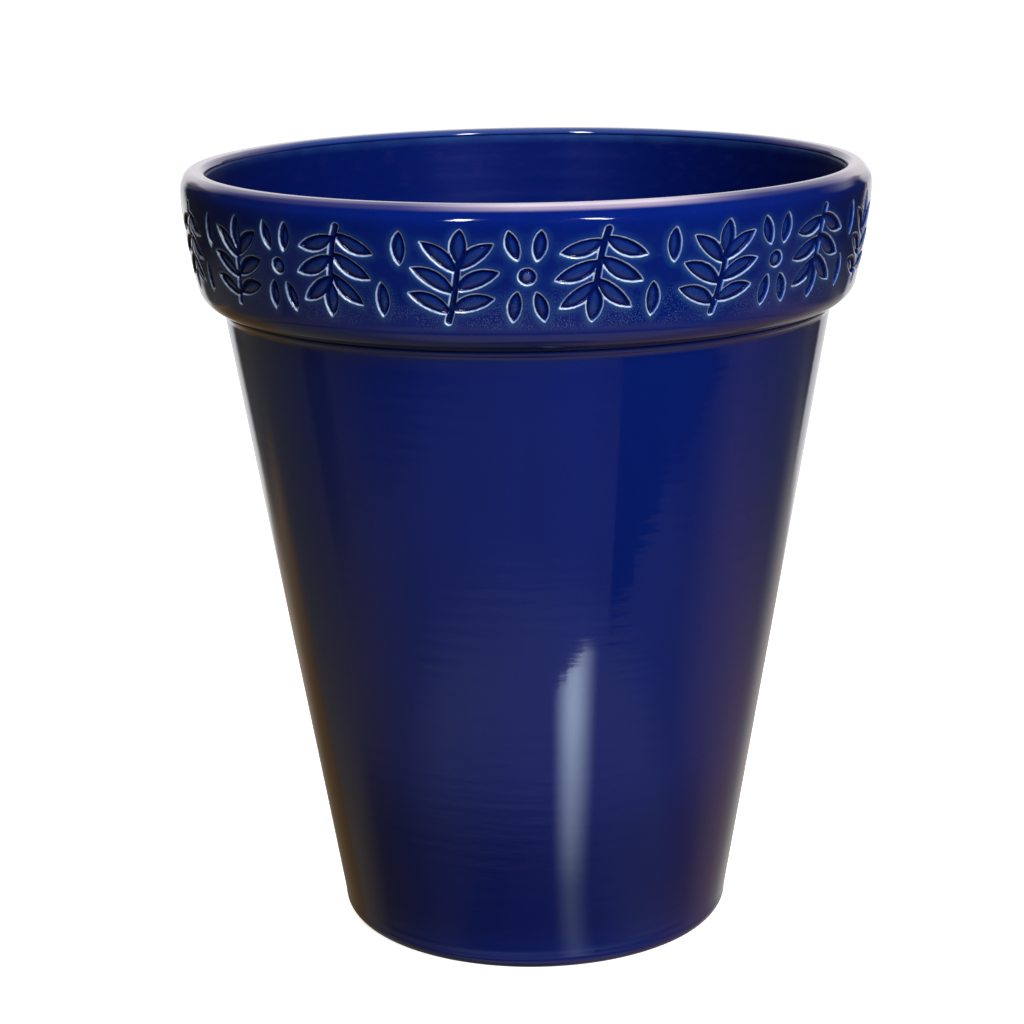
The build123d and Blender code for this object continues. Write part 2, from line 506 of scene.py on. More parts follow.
def warp(phi):
    """The repeats at the front are pressed a little wider apart than those behind."""
    return phi + 0.042 * np.sin(phi)


def settle(phi, v):
    """Each press of the mould sits a little higher or lower. Nothing moves at the band's edges."""
    drop = 2.6 * (1 - np.cos(phi - 0.05)) * 1.0
    drop = np.minimum(drop, 2.0) + 0.5 * np.sin(4 * phi + 0.8)
    hold = np.sin(np.clip(v / BAND, 0, 1) * np.pi) ** 0.8
    return v - drop * hold


# ------------------------------------------------------------------ the collar coat
def build_collar():
    uv, tris = frieze_unit()
    n = len(uv)
    d = sample(FD, uv[:, 0], uv[:, 1])
    b = sample(FB.astype(float), uv[:, 0], uv[:, 1]) > 0.5
    rb = sample(FR, uv[:, 0], uv[:, 1])
    h, fade = relief(d, b, rb, uv[:, 1])
    gu, gv = sample(GRAD_U, uv[:, 0], uv[:, 1]), sample(GRAD_V, uv[:, 0], uv[:, 1])
    # the edge of the band stays exactly on the plain rings
    rim = (uv[:, 1] < 1e-4) | (uv[:, 1] > BAND - 1e-4)
    h = np.where(rim, 0, h)
    V, A, T, P, faces = [], [], [], [], []
    for k in range(UNITS):
        phi = warp((uv[:, 0] / UNIT + k) * TAU / UNITS)
        z = BAND_LO + settle(phi, uv[:, 1])
        r = face_r(z) - 0.32 * wobble(phi, z) + h
        V.append(np.stack([r * np.sin(phi), -r * np.cos(phi), z], 1))
        A.append(np.stack([d, gu, gv], 1))
        T.append(h)
        P.append(fade)
        faces += [(a + k * n, c + k * n, e + k * n) for a, c, e in tris]
    V, A, T, P = np.vstack(V), np.vstack(A), np.concatenate(T), np.concatenate(P)
    # plain rings above and below, and the coat's inner side
    ncol = UNITS * COLS
    base_phi = warp((np.arange(ncol) / COLS - 0.5) * TAU / UNITS)

    def ring(r, z):
        r = np.broadcast_to(r, (ncol,)).astype(float)
        z = np.broadcast_to(z, (ncol,)).astype(float)
        return np.stack([r * np.sin(base_phi), -r * np.cos(base_phi), z], 1)

    def w_of(z, share=1.0):
        return 0.32 * wobble(base_phi, np.full(ncol, float(z))) * share

    rows = []       # rows of points: the lip, from the top of the band inwards
    rounded = chain(arc((150.0, 333.0), lip_point(20), lip_point(40), 16), arc(lip_point(40), lip_point(64), (145.5, 342.0), 10))
    lip = chain([(float(face_r(BAND_HI)), BAND_HI)] + [p for p in rounded if p[1] > BAND_HI + 0.2],
                seg((145.5, 342.0), (141.8, 342.0), 3), arc((141.8, 342.0), (139.68, 341.12), (138.8, 339.0), 10))
    for i, (r, z) in enumerate(lip):
        rows.append(ring(r - w_of(z) * (1 if r > 145.5 else 0.5), z - (0.12 * wobble(base_phi * 1.0, np.full(ncol, 900.0)) if z > 340 else 0)))
    outer_top = rows
    # inner side of the coat, lying on the clay
    ins = chain(seg((138.8, 339.0), (139.41, 339.0), 1), arc((139.41, 339.0), (140.11, 340.69), (141.8, 341.4), 6),
                seg((141.8, 341.4), (145.5, 341.4), 2), [lip_point(a, GLAZE) for a in (90, 80, 70, 60, 50, 41, 33, 26)])[1:]
    inner_top = [ring(r, z) for r, z in ins]
    return V, A, T, P, faces, outer_top, inner_top, ring, w_of, base_phi, ncol


V, A, T, P, F3, outer_top, inner_top, ring, w_of, base_phi, ncol = build_collar()


def h_coarse(phi_index_u, v, reach=2.3):
    """The relief as the clay under the glaze carries it: the lowest height within reach."""
    best = np.zeros(phi_index_u.shape)
    for du, dv in [(0, 0)] + [(reach * math.cos(a) * s, reach * math.sin(a) * s) for s in (0.5, 1.0) for a in np.arange(8) * TAU / 8]:
        uu = np.mod(phi_index_u + du + UNIT / 2, UNIT) - UNIT / 2
        vv = np.clip(v + dv, 0, BAND)
        hh, _ = relief(sample(FD, uu, vv), sample(FB.astype(float), uu, vv) > 0.5, sample(FR, uu, vv), vv)
        best = np.minimum(best, hh)
    return best


col_u = (np.arange(ncol) % COLS) / COLS * UNIT - UNIT / 2
BACK_V = np.linspace(0, BAND, 27)


def back_ring(v, extra=0.0):
    hc = h_coarse(col_u, np.full(ncol, v)) if 0 < v < BAND else np.zeros(ncol)
    z = BAND_LO + settle(base_phi, np.full(ncol, v))
    r = face_r(z) - GLAZE - 0.32 * wobble(base_phi, z) * 0.6 + np.minimum(hc + 0.1, 0) - extra
    return ring(r, z)


under = chain(arc((134.6, 282.2), (140.2, 285.0), (144.0, 291.0), 14))
under_in = chain(arc((134.45, 282.65), (139.768, 285.408), (143.4, 291.0), 8))


def stitch(name, material_slot, body_rows_outer_low, outer_top_rows, inner_rows, with_band=True):
    """One closed coat: low rings, the pressed band, the lip, then back down the inner side."""
    verts = [V]
    rel = [A]
    hh = [T]
    pressed = [P]
    faces = list(F3)
    count = len(V)

    def push(points):
        nonlocal count
        verts.append(points)
        rel.append(np.tile([6.0, 0.0, 0.0], (ncol, 1)))
        hh.append(np.zeros(ncol))
        pressed.append(np.where(points[:, 2] < BAND_LO + 1, 1.0, 0.0))
        count += ncol
        return count - ncol

    rows = [push(p) for p in body_rows_outer_low]
    for a, b in zip(rows, rows[1:]):
        faces.extend(ring_faces(a, b, ncol))
    low_last, low_first = rows[-1], rows[0]
    tops = [push(p) for p in outer_top_rows]
    for a, b in zip(tops, tops[1:]):
        faces.extend(ring_faces(a, b, ncol))
    inner = [push(p) for p in inner_rows]
    chain_rows = [tops[-1]] + inner + [low_first]
    for a, b in zip(chain_rows, chain_rows[1:]):
        faces.extend(ring_faces(a, b, ncol))
    return by_hand(np.vstack(verts)), np.vstack(rel), np.concatenate(hh), np.concatenate(pressed), faces


low_rows = [ring(r - w_of(z) * min(1.0, 0.25 + 0.75 * k / 14), z) for k, (r, z) in enumerate(under)]
inner_rows = list(inner_top)
inner_rows += [back_ring(v) for v in BACK_V[::-1]]
inner_rows += [ring(r - w_of(z) * 0.6 * min(1.0, 0.25 + 0.75 * k / 8), z) for k, (r, z) in reversed(list(enumerate(under_in))[:-1])]
cv, crel, chh, cpr, cf = stitch("collar", "collar_glaze", low_rows, outer_top, inner_rows)


def weld(name, verts, faces, attrs, dist=3e-6):
    """Joins the coincident border points of neighbouring units and rings."""
    ob = new_mesh(name, verts, faces, attrs)
    bm = bmesh.new()
    bm.from_mesh(ob.data)
    bmesh.ops.remove_doubles(bm, verts=bm.verts, dist=dist)
    bm.to_mesh(ob.data)
    bm.free()
    ob.data.update()
    return ob


collar = weld("collar_glaze_relief", cv, cf, {"edge": crel, "relief": chh, "press": cpr})
print("collar faces", len(collar.data.polygons))


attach(collar, "root")
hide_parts("collar_glaze")

# ------------------------------------------------------------------ the clay ring under the collar's coat
IN_WALL = GLAZE * math.sqrt(1 + SLOPE**2)
SEAT_SLOPE = (SEAT[0] - CORNER[0]) / (SEAT[1] - CORNER[1])
FLARE_SLOPE = (138.8 - SEAT[0]) / (339.0 - SEAT[1])
IN_LOW = GLAZE * math.sqrt(1 + SEAT_SLOPE**2)
IN_HIGH = GLAZE * math.sqrt(1 + FLARE_SLOPE**2)
CLAY_SEAT_R = wall(284.0) - IN_WALL
COIL_TOP = (134.45, 282.65)
COIL_LOW = (wall(279.6) - IN_WALL, 279.75)
BEVEL = (130.6, 284.0)


def stack(name, rows, n, move=None):
    """A closed solid from rings of points, each ring given once, going anticlockwise in (r, z)."""
    faces = []
    for i in range(len(rows)):
        faces += ring_faces(i * n, ((i + 1) % len(rows)) * n, n)
    points = np.vstack(rows)
    return new_mesh(name, points if move is None else move(points), faces)


rows = [ring(r - w_of(z) * 0.6 * min(1.0, 0.25 + 0.75 * k / 8), z) for k, (r, z) in list(enumerate(under_in))[:-1]]
rows += [back_ring(v) for v in BACK_V]
rows += list(reversed(inner_top))
rows += [ring(139.41 + (SEAT[0] + IN_LOW - 139.41) * k / 8, 339.0 + (284.0 - 339.0) * k / 8) for k in range(9)]
rows += [ring(CLAY_SEAT_R, 284.0)]
clay_ring = stack("rim_collar_clay", rows, ncol, by_hand)
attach(clay_ring, "root")
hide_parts("rim_collar")

# ------------------------------------------------------------------ the coat on the tapered body
NSEG = 288


def body_shift(ph, z, r):
    """Slow unevenness, faint throwing rings, and the roll where the glaze stopped above the foot."""
    free = ease(z, 2.0, 9.0) * (1 - ease(z, 274.0, 282.0))
    out = r - free * (0.24 * wobble(ph, z) + 0.006 * (1 + rings(z, ph)))
    out += 0.16 * np.exp(-(((z - 4.6 - 0.5 * np.sin(3 * ph) - 0.3 * np.sin(7 * ph + 1)) / 1.9) ** 2)) * ease(z, 1.6, 3.2)
    return out, z


coil_arc = arc((wall(279.6), 279.6), (134.35, 280.75), (134.6, 282.2), 8)
coil_back = arc((wall(279.6) - IN_WALL, 279.75), (133.84, 280.93), COIL_TOP, 6)
front = chain(arc((86.52, 0.72), (87.42, 1.9), (wall(3.8), 3.8), 7), seg((wall(3.8), 3.8), (wall(279.6), 279.6), 172), coil_arc)
back = chain(coil_back[::-1], seg((wall(279.6) - IN_WALL, 279.75), (wall(3.8) - IN_WALL, 3.8), 16), [(0, 0), (86.0, 1.0)])
nf = len(front)


def coat_grid(name, front_pts, back_pts, nseg, shift, move=None):
    """A closed coat whose front follows shift and whose back lies on the clay."""
    a = revolve_grid(front_pts, nseg, shift)
    b = revolve_grid(back_pts, nseg)
    return stack(name, list(a) + list(b), nseg, move)


body = coat_grid("outer_glaze_coat", front, back, NSEG, body_shift)
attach(body, "root")
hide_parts("outer_glaze")

# ------------------------------------------------------------------ the coat inside
CORNER_ARC = arc(CORNER, (78.1, 18.6), (70.0, 15.0), 12)
CORNER_BACK = arc((CORNER[0] + IN_LOW, CORNER[1]), (78.1 + 0.72 * GLAZE, 18.6 - 0.7 * GLAZE), (70.0, 15.0 - GLAZE), 8)
in_front = chain(seg((138.8, 339.0), SEAT, 40), seg(SEAT, CORNER, 150), CORNER_ARC, seg((70.0, 15.0), (14.5, 15.0), 44))
in_back = chain([(14.5, 14.4), (15.5, 14.4)], seg((15.5, 14.4), (70.0, 14.4), 6), CORNER_BACK[::-1],
                seg((CORNER[0] + IN_LOW, CORNER[1]), (SEAT[0] + IN_LOW, SEAT[1]), 10), seg((SEAT[0] + IN_LOW, SEAT[1]), (139.41, 339.0), 3))


def inside_shift(ph, z, r):
    free = 1 - ease(z, 333.0, 339.0)
    deep = 0.10 * wobble(ph, z) + 0.075 * (1 + rings(z * 0.8 + 3.0, ph))
    out = np.where(z > 16.0, r + free * deep, r)
    # on the floor the rings run round the centre and soften towards the hole
    on_floor = (1 - ease(z, 15.02, 27.0)) * ease(r, 14.5, 20.0)
    dz = 0.14 * (1 + np.sin(TAU * (r + ph / TAU * 6.0) / 6.0)) + 0.05 * (1 + np.sin(TAU * (r + ph / TAU * 3.1) / 3.1 + 1))
    return out, z - on_floor * dz


inside = coat_grid("inner_glaze_coat", in_front, in_back, 256, inside_shift, by_hand)
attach(inside, "root")
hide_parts("inner_glaze")

# ------------------------------------------------------------------ the thrown clay body and the coil
clay_profile = chain(
    [(13.9, 4.0), (14.6, 4.0)], seg((14.6, 4.0), (69.4, 4.0), 46), arc((69.4, 4.0), (70.6, 3.5), (71.3, 2.6), 4),
    seg((71.3, 2.6), (73.2, 0.3), 4), arc((73.2, 0.3), (73.5, 0.08), (73.9, 0.0), 3), seg((73.9, 0.0), (84.6, 0.0), 9),
    arc((84.6, 0.0), (85.72, 0.22), (86.52, 0.72), 5), [(0, 0), (86.0, 1.0)],
    [(0, 0), (wall(3.8) - IN_WALL, 3.8)], seg((wall(3.8) - IN_WALL, 3.8), COIL_LOW, 20), [(0, 0), BEVEL],
    [(0, 0), (SEAT[0] + IN_LOW, 284.0)], seg((SEAT[0] + IN_LOW, 284.0), (CORNER[0] + IN_LOW, CORNER[1]), 12),
    CORNER_BACK, seg((70.0, 14.4), (14.5, 14.4), 6), [(0, 0), (14.5, 14.95)], [(0, 0), (13.9, 15.0)],
    arc((13.9, 15.0), (13.28, 14.75), (13.0, 14.1), 4), seg((13.0, 14.1), (13.0, 4.9), 8), arc((13.0, 4.9), (13.25, 4.25), (13.9, 4.0), 4)[:-1],
)


def clay_shift(ph, z, r):
    under = (z < 4.01) & (r < 69.5) & (r > 13.8)
    lines = 0.10 * np.sin(TAU * (r + ph / TAU * 3.4) / 3.4) + 0.06 * np.sin(TAU * (r + ph / TAU * 1.7) / 1.7 + 0.7)
    z = np.where(under, z + (lines - 0.02) * ease(r, 13.9, 17.0) * (1 - ease(r, 66.0, 69.4)), z)
    on_ring = (z < 0.001) & (r > 73.9) & (r < 84.6)
    z = np.where(on_ring, z + 0.05 * (1 + np.sin(TAU * r / 2.2)) * ease(r, 73.9, 75.5) * (1 - ease(r, 83.0, 84.6)), z)
    hole = (r < 14.4) & (z > 3.9)
    r = np.where(hole, r + 0.10 * (1 + np.sin(3 * ph + 0.4) * 0.6 + np.sin(5 * ph) * 0.4) * 0.5, r)
    return r, z


clay = stack("clay_body_thrown", list(revolve_grid(clay_profile, 240, clay_shift)), 240)
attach(clay, "root")
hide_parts("clay_body")

coil_profile = chain(coil_back, seg(COIL_TOP, (CLAY_SEAT_R, 284.0), 2), seg((CLAY_SEAT_R, 284.0), BEVEL, 3), seg(BEVEL, COIL_LOW, 5)[:-1])
coil = stack("luting_coil_clay", list(revolve_grid(coil_profile, 240)), 240)
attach(coil, "root")
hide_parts("luting_coil")


# ------------------------------------------------------------------ materials
class Tree:
    """A small helper for building node trees."""

    def __init__(self, owner):
        owner.use_nodes = True
        self.t = owner.node_tree
        self.t.nodes.clear()

    def node(self, kind, **props):
        n = self.t.nodes.new(kind)
        for k, v in props.items():
            setattr(n, k, v)
        return n

    def put(self, socket, value):
        if isinstance(value, bpy.types.NodeSocket):
            self.t.links.new(value, socket)
        elif isinstance(value, (tuple, list)) and len(value) == 3 and socket.type == "RGBA":
            socket.default_value = (*value, 1.0)
        else:
            socket.default_value = value

    def math(self, op, a, b=None, c=None, clamp=False):
        n = self.node("ShaderNodeMath", operation=op, use_clamp=clamp)
        self.put(n.inputs[0], a)
        if b is not None:
            self.put(n.inputs[1], b)
        if c is not None:
            self.put(n.inputs[2], c)
        return n.outputs[0]

    def ramp(self, x, lo, hi, a=0.0, b=1.0, smooth=True):
        n = self.node("ShaderNodeMapRange", interpolation_type="SMOOTHSTEP" if smooth else "LINEAR")
        self.put(n.inputs["Value"], x)
        self.put(n.inputs["From Min"], lo)
        self.put(n.inputs["From Max"], hi)
        self.put(n.inputs["To Min"], a)
        self.put(n.inputs["To Max"], b)
        return n.outputs[0]

    def band(self, x, lo0, lo1, hi0, hi1):
        return self.math("MULTIPLY", self.ramp(x, lo0, lo1), self.ramp(x, hi0, hi1, 1.0, 0.0))

    def mix(self, fac, a, b, blend="MIX"):
        n = self.node("ShaderNodeMix", data_type="RGBA", blend_type=blend)
        self.put(n.inputs["Factor"], fac)
        self.put(n.inputs[6], a)
        self.put(n.inputs[7], b)
        return n.outputs[2]

    def noise(self, vector, scale, detail=3.0, rough=0.5, distortion=0.0):
        n = self.node("ShaderNodeTexNoise")
        self.put(n.inputs["Vector"], vector)
        self.put(n.inputs["Scale"], scale)
        self.put(n.inputs["Detail"], detail)
        self.put(n.inputs["Roughness"], rough)
        self.put(n.inputs["Distortion"], distortion)
        return n.outputs["Fac"]

    def voronoi(self, vector, scale, feature="F1", out="Distance", randomness=1.0):
        n = self.node("ShaderNodeTexVoronoi", feature=feature)
        self.put(n.inputs["Vector"], vector)
        self.put(n.inputs["Scale"], scale)
        self.put(n.inputs["Randomness"], randomness)
        return n.outputs[out]

    def combine(self, x, y, z):
        n = self.node("ShaderNodeCombineXYZ")
        self.put(n.inputs[0], x)
        self.put(n.inputs[1], y)
        self.put(n.inputs[2], z)
        return n.outputs[0]

    def split(self, v):
        n = self.node("ShaderNodeSeparateXYZ")
        self.put(n.inputs[0], v)
        return n.outputs[0], n.outputs[1], n.outputs[2]


COBALT = (0.0014, 0.0118, 0.160)
DEEP = (0.0011, 0.0096, 0.138)
POOL = (0.0007, 0.0042, 0.056)
TEAL = (0.013, 0.056, 0.200)
PALE = (0.075, 0.165, 0.36)
# colour of the white edge line: glaze break and painted highlight
BREAK_AND_HIGHLIGHT = (0.62, 0.72, 0.88)
LILAC = (0.74, 0.62, 0.74)


def glaze(name, frieze=False, lip=False, inner=False):
    mat = bpy.data.materials.new(name)
    t = Tree(mat)
    pos = t.node("ShaderNodeTexCoord").outputs["Object"]
    x, y, z = t.split(pos)
    # streaks follow the way the glaze ran: long in z, short round the pot
    ang = t.math("ARCTAN2", x, t.math("MULTIPLY", y, -1.0))
    run = t.combine(t.math("MULTIPLY", t.math("SINE", ang), 0.13), t.math("MULTIPLY", t.math("COSINE", ang), 0.13), t.math("MULTIPLY", z, 0.09))
    streak = t.noise(run, 42.0, 4.0, 0.55)
    cloud = t.noise(pos, 7.5, 3.0, 0.5, 0.3)
    fine = t.noise(pos, 260.0, 3.0, 0.6)
    tone = t.math("ADD", t.math("MULTIPLY", streak, 0.55), t.math("MULTIPLY", cloud, 0.45))
    colour = t.mix(t.ramp(tone, 0.30, 0.70), DEEP, COBALT)
    # fine pinholes and milky specks that gather low on the collar and under the lip
    dot = t.voronoi(pos, 1700.0)
    speck = t.math("MULTIPLY", t.ramp(dot, 0.14, 0.42, 1.0, 0.0), t.ramp(t.noise(pos, 95.0, 3.0), 0.34, 0.54))
    if frieze:
        zone = t.band(z, 0.2915, 0.2945, 0.301, 0.312)
        zone = t.math("ADD", t.math("MULTIPLY", zone, 0.52), 0.03)
    elif inner:
        zone = t.math("ADD", t.math("MULTIPLY", t.ramp(z, 0.330, 0.3375), 0.42), 0.02)
    else:
        zone = 0.02
    colour = t.mix(t.math("MULTIPLY", speck, zone), colour, (0.10, 0.19, 0.36))
    bump_h = t.math("MULTIPLY", fine, 0.35)
    rough = t.math("ADD", 0.045, t.math("MULTIPLY", t.ramp(t.noise(pos, 24.0, 3.0), 0.35, 0.75), 0.05))
    if frieze:
        edge = t.node("ShaderNodeAttribute", attribute_type="GEOMETRY", attribute_name="edge").outputs["Vector"]
        d, gu, gv = t.split(edge)
        hgt = t.node("ShaderNodeAttribute", attribute_type="GEOMETRY", attribute_name="relief").outputs["Fac"]
        low = t.math("MAXIMUM", t.math("SUBTRACT", t.math("MULTIPLY", gv, -0.78), t.math("MULTIPLY", gu, 0.60)), 0.0)   # 1 on lower left edges
        ragged = t.math("SUBTRACT", t.noise(pos, 820.0, 3.0, 0.65), 0.5)
        broad = t.ramp(t.noise(pos, 75.0, 2.0), 0.36, 0.62)
        press = t.node("ShaderNodeAttribute", attribute_type="GEOMETRY", attribute_name="press").outputs["Fac"]
        # a soft teal glow round each press, then a milky halo where the glaze thins over the shoulder. The halo is
        # painted wider and stronger on lower-left edges: partly thinner glaze, partly a painted highlight where those
        # edges face up into the light.
        glow = t.math("MULTIPLY", t.math("MULTIPLY", t.ramp(d, 0.0, 3.9, 1.0, 0.0), t.ramp(d, -0.3, 0.1)), press)
        colour = t.mix(t.math("MULTIPLY", glow, t.math("ADD", 0.50, t.math("MULTIPLY", low, 0.42))), colour, TEAL)
        reach = t.math("ADD", 0.55, t.math("MULTIPLY", low, 1.15))
        halo = t.math("MULTIPLY", t.math("MULTIPLY", t.ramp(t.math("DIVIDE", d, reach), 0.0, 1.0, 1.0, 0.0), t.ramp(d, -0.3, 0.05)), press)
        halo = t.math("MULTIPLY", halo, t.math("ADD", 0.14, t.math("MULTIPLY", low, 0.34)))
        colour = t.mix(halo, colour, PALE)
        # floors: dark pool along the edge, paler crown in the middle
        pool = t.math("MULTIPLY", t.band(d, -1.50, -0.80, -0.32, -0.10), press)
        colour = t.mix(t.math("MULTIPLY", pool, t.math("ADD", 0.62, t.math("MULTIPLY", low, 0.33))), colour, POOL)
        grainy = t.ramp(t.noise(pos, 480.0, 2.0, 0.6), 0.30, 0.70, 0.62, 1.0)
        crown = t.math("MULTIPLY", t.math("MULTIPLY", t.ramp(d, -3.0, -0.90, 1.0, 0.0), grainy), press)
        colour = t.mix(t.math("MULTIPLY", crown, 0.85), colour, (0.0160, 0.0540, 0.205))
        # the berry's top is painted greyer: partly a thinner coat, partly a painted reflection
        bead = t.math("MULTIPLY", t.ramp(hgt, -0.42, -0.20), t.ramp(d, -1.9, -1.4, 1.0, 0.0))
        bead = t.math("MULTIPLY", bead, t.ramp(press, 0.97, 1.0))
        colour = t.mix(t.math("MULTIPLY", bead, 0.55), colour, (0.085, 0.120, 0.260))
        # the white line where the glaze breaks over the edge, partly a painted highlight: it is painted brighter on
        # lower-left edges, which face up into the light, and brighter and bluer on upper edges to lift the shade that
        # falls on them
        off = t.math("ABSOLUTE", t.math("SUBTRACT", t.math("ADD", d, t.math("MULTIPLY", ragged, 0.40)), t.math("SUBTRACT", 0.36, t.math("MULTIPLY", low, 0.20))))
        wide = t.math("ADD", 0.34, t.math("MULTIPLY", low, 0.12))
        line = t.math("MULTIPLY", t.ramp(t.math("DIVIDE", off, wide), 0.30, 1.0, 1.0, 0.0), press)
        line = t.math("MULTIPLY", line, t.ramp(t.noise(pos, 340.0, 2.0, 0.6), 0.34, 0.60, 0.62, 1.0))
        over = t.math("MAXIMUM", gv, 0.0)   # 1 on upper edges
        power = t.math("ADD", t.math("ADD", 0.60, t.math("MULTIPLY", over, 0.32)), t.math("MULTIPLY", low, t.math("ADD", 0.14, t.math("MULTIPLY", broad, 0.30))))
        colour = t.mix(t.math("MULTIPLY", line, power), colour, t.mix(t.ramp(low, 0.0, 0.45), t.mix(over, (0.36, 0.50, 0.95), (0.54, 0.64, 1.0)), BREAK_AND_HIGHLIGHT))
        rough = t.math("ADD", rough, t.math("MULTIPLY", line, 0.05))
    if lip:
        # the glaze thins along the lip's top and over its outer round. The pale band is partly a painted reflection: it
        # is painted strongest at the front and at the two ends as seen from the camera, where the rim mirrors the white
        # backdrop, and the far top is painted a lighter blue.
        rad = t.math("SQRT", t.math("ADD", t.math("MULTIPLY", x, x), t.math("MULTIPLY", y, y)))
        level = t.math("ADD", z, t.math("MULTIPLY", t.math("SUBTRACT", 1.0, t.math("DIVIDE", y, rad)), 0.00045))
        front = t.ramp(t.math("ABSOLUTE", t.math("SUBTRACT", ang, 0.16)), 0.12, 0.54, 1.0, 0.0)
        ends = t.math("MULTIPLY", t.ramp(t.math("ABSOLUTE", ang), 0.95, 1.35), t.ramp(t.math("ABSOLUTE", ang), 2.00, 2.36, 1.0, 0.0))
        far = t.math("MULTIPLY", t.ramp(t.math("ABSOLUTE", ang), 1.95, 2.40), t.ramp(level, 0.3392, 0.3408))
        colour = t.mix(t.math("MULTIPLY", far, 0.72), colour, (0.040, 0.088, 0.30))
        amount = t.math("ADD", 0.11, t.math("MULTIPLY", t.math("MAXIMUM", front, ends), 0.85))
        drop = t.math("ADD", level, t.math("MULTIPLY", ends, 0.0020))
        thin = t.math("ADD", t.math("MULTIPLY", t.ramp(drop, 0.3389, 0.3404), 0.50), t.math("MULTIPLY", t.ramp(drop, 0.3405, 0.3415), 0.52))
        thin = t.math("MULTIPLY", thin, t.ramp(rad, 0.1399, 0.1420, 0.12, 1.0))
        thin = t.math("MULTIPLY", thin, t.math("SUBTRACT", 1.0, t.math("MULTIPLY", front, t.ramp(rad, 0.1430, 0.1442, 0.30, 0.0))))
        thin = t.math("MULTIPLY", t.math("MULTIPLY", thin, amount), t.ramp(t.noise(run, 30.0, 3.0), 0.25, 0.7, 0.86, 1.0))
        # painted highlight: a bright line along the inner edge of the lip's top
        crest = t.math("MULTIPLY", t.math("MULTIPLY", t.band(rad, 0.1404, 0.1411, 0.1419, 0.1428), t.math("SUBTRACT", 1.0, t.math("MULTIPLY", far, 0.85))), t.math("SUBTRACT", 0.75, t.math("MULTIPLY", front, 0.6)))
        colour = t.mix(t.math("MAXIMUM", thin, t.math("MULTIPLY", crest, t.ramp(level, 0.3400, 0.3412))), colour, t.mix(ends, LILAC, (0.84, 0.72, 0.80)))
    if inner:
        colour = t.mix(0.85, colour, (0.0008, 0.0062, 0.088))
        # painted shade: the inside is darkened towards +x, its right side as seen from the camera
        colour = t.mix(t.math("MULTIPLY", t.ramp(x, 0.01, 0.13), 0.45), colour, (0.0003, 0.0022, 0.036))
        near = t.ramp(z, 0.3345, 0.3385)
        colour = t.mix(t.math("MULTIPLY", near, t.ramp(t.noise(pos, 90.0, 3.0), 0.3, 0.7, 0.35, 0.75)), colour, (0.014, 0.050, 0.19))
        brush = t.noise(t.combine(t.math("MULTIPLY", ang, 0.05), 0.0, z), 300.0, 3.0, 0.6)
        colour = t.mix(t.math("MULTIPLY", t.ramp(brush, 0.5, 0.75), 0.18), colour, (0.030, 0.022, 0.13))
        bump_h = t.math("ADD", bump_h, t.math("MULTIPLY", brush, 0.5))
    if not (frieze or inner):
        # painted shade: a darker band low on the body, from just above the foot to about 10 cm up
        low_body_shade = t.band(z, 0.006, 0.024, 0.052, 0.098)
        colour = t.mix(t.math("MULTIPLY", low_body_shade, 0.52), colour, (0.0004, 0.0030, 0.070))
        # painted reflection: a pale grey-blue line along the glaze's lower edge, just above the foot
        foot_line = t.ramp(z, 0.0008, 0.0026, 1.0, 0.0)
        colour = t.mix(t.math("MULTIPLY", foot_line, 0.40), colour, (0.10, 0.11, 0.20))
    ripple = t.noise(t.combine(t.math("MULTIPLY", ang, 0.02), 0.0, z), 230.0, 2.0, 0.5)
    bump = t.node("ShaderNodeBump")
    t.put(bump.inputs["Strength"], 0.22)
    t.put(bump.inputs["Distance"], 0.0001)
    t.put(bump.inputs["Height"], t.math("ADD", bump_h, t.math("MULTIPLY", ripple, 1.2)))
    # seen at a slant the coloured glass is thicker, so the colour deepens
    facing = t.node("ShaderNodeLayerWeight")
    t.put(facing.inputs["Blend"], 0.5)
    slant = t.math("POWER", t.math("MAXIMUM", t.math("SUBTRACT", 1.0, facing.outputs["Facing"]), 0.02), 0.6)
    colour = t.mix(1.0, colour, t.combine(slant, slant, slant), "MULTIPLY")
    b = t.node("ShaderNodeBsdfPrincipled")
    t.put(b.inputs["Base Color"], colour)
    t.put(b.inputs["Roughness"], rough)
    t.put(b.inputs["IOR"], 1.52)
    if frieze:
        # the steep sides of a press mirror only each other, so little light comes back
        steep = t.math("MULTIPLY", t.band(d, -1.90, -1.15, 0.22, 0.62), t.math("MULTIPLY", press, t.ramp(low, 0.08, 0.55, 1.0, 0.30)))
        t.put(b.inputs["Specular IOR Level"], t.math("SUBTRACT", 0.5, t.math("MULTIPLY", steep, 0.47)))
    if inner:
        t.put(b.inputs["Roughness"], t.math("ADD", rough, 0.32))
        t.put(b.inputs["Specular IOR Level"], 0.055)
    t.put(b.inputs["Normal"], bump.outputs[0])
    out = t.node("ShaderNodeOutputMaterial")
    t.t.links.new(b.outputs[0], out.inputs[0])
    return mat


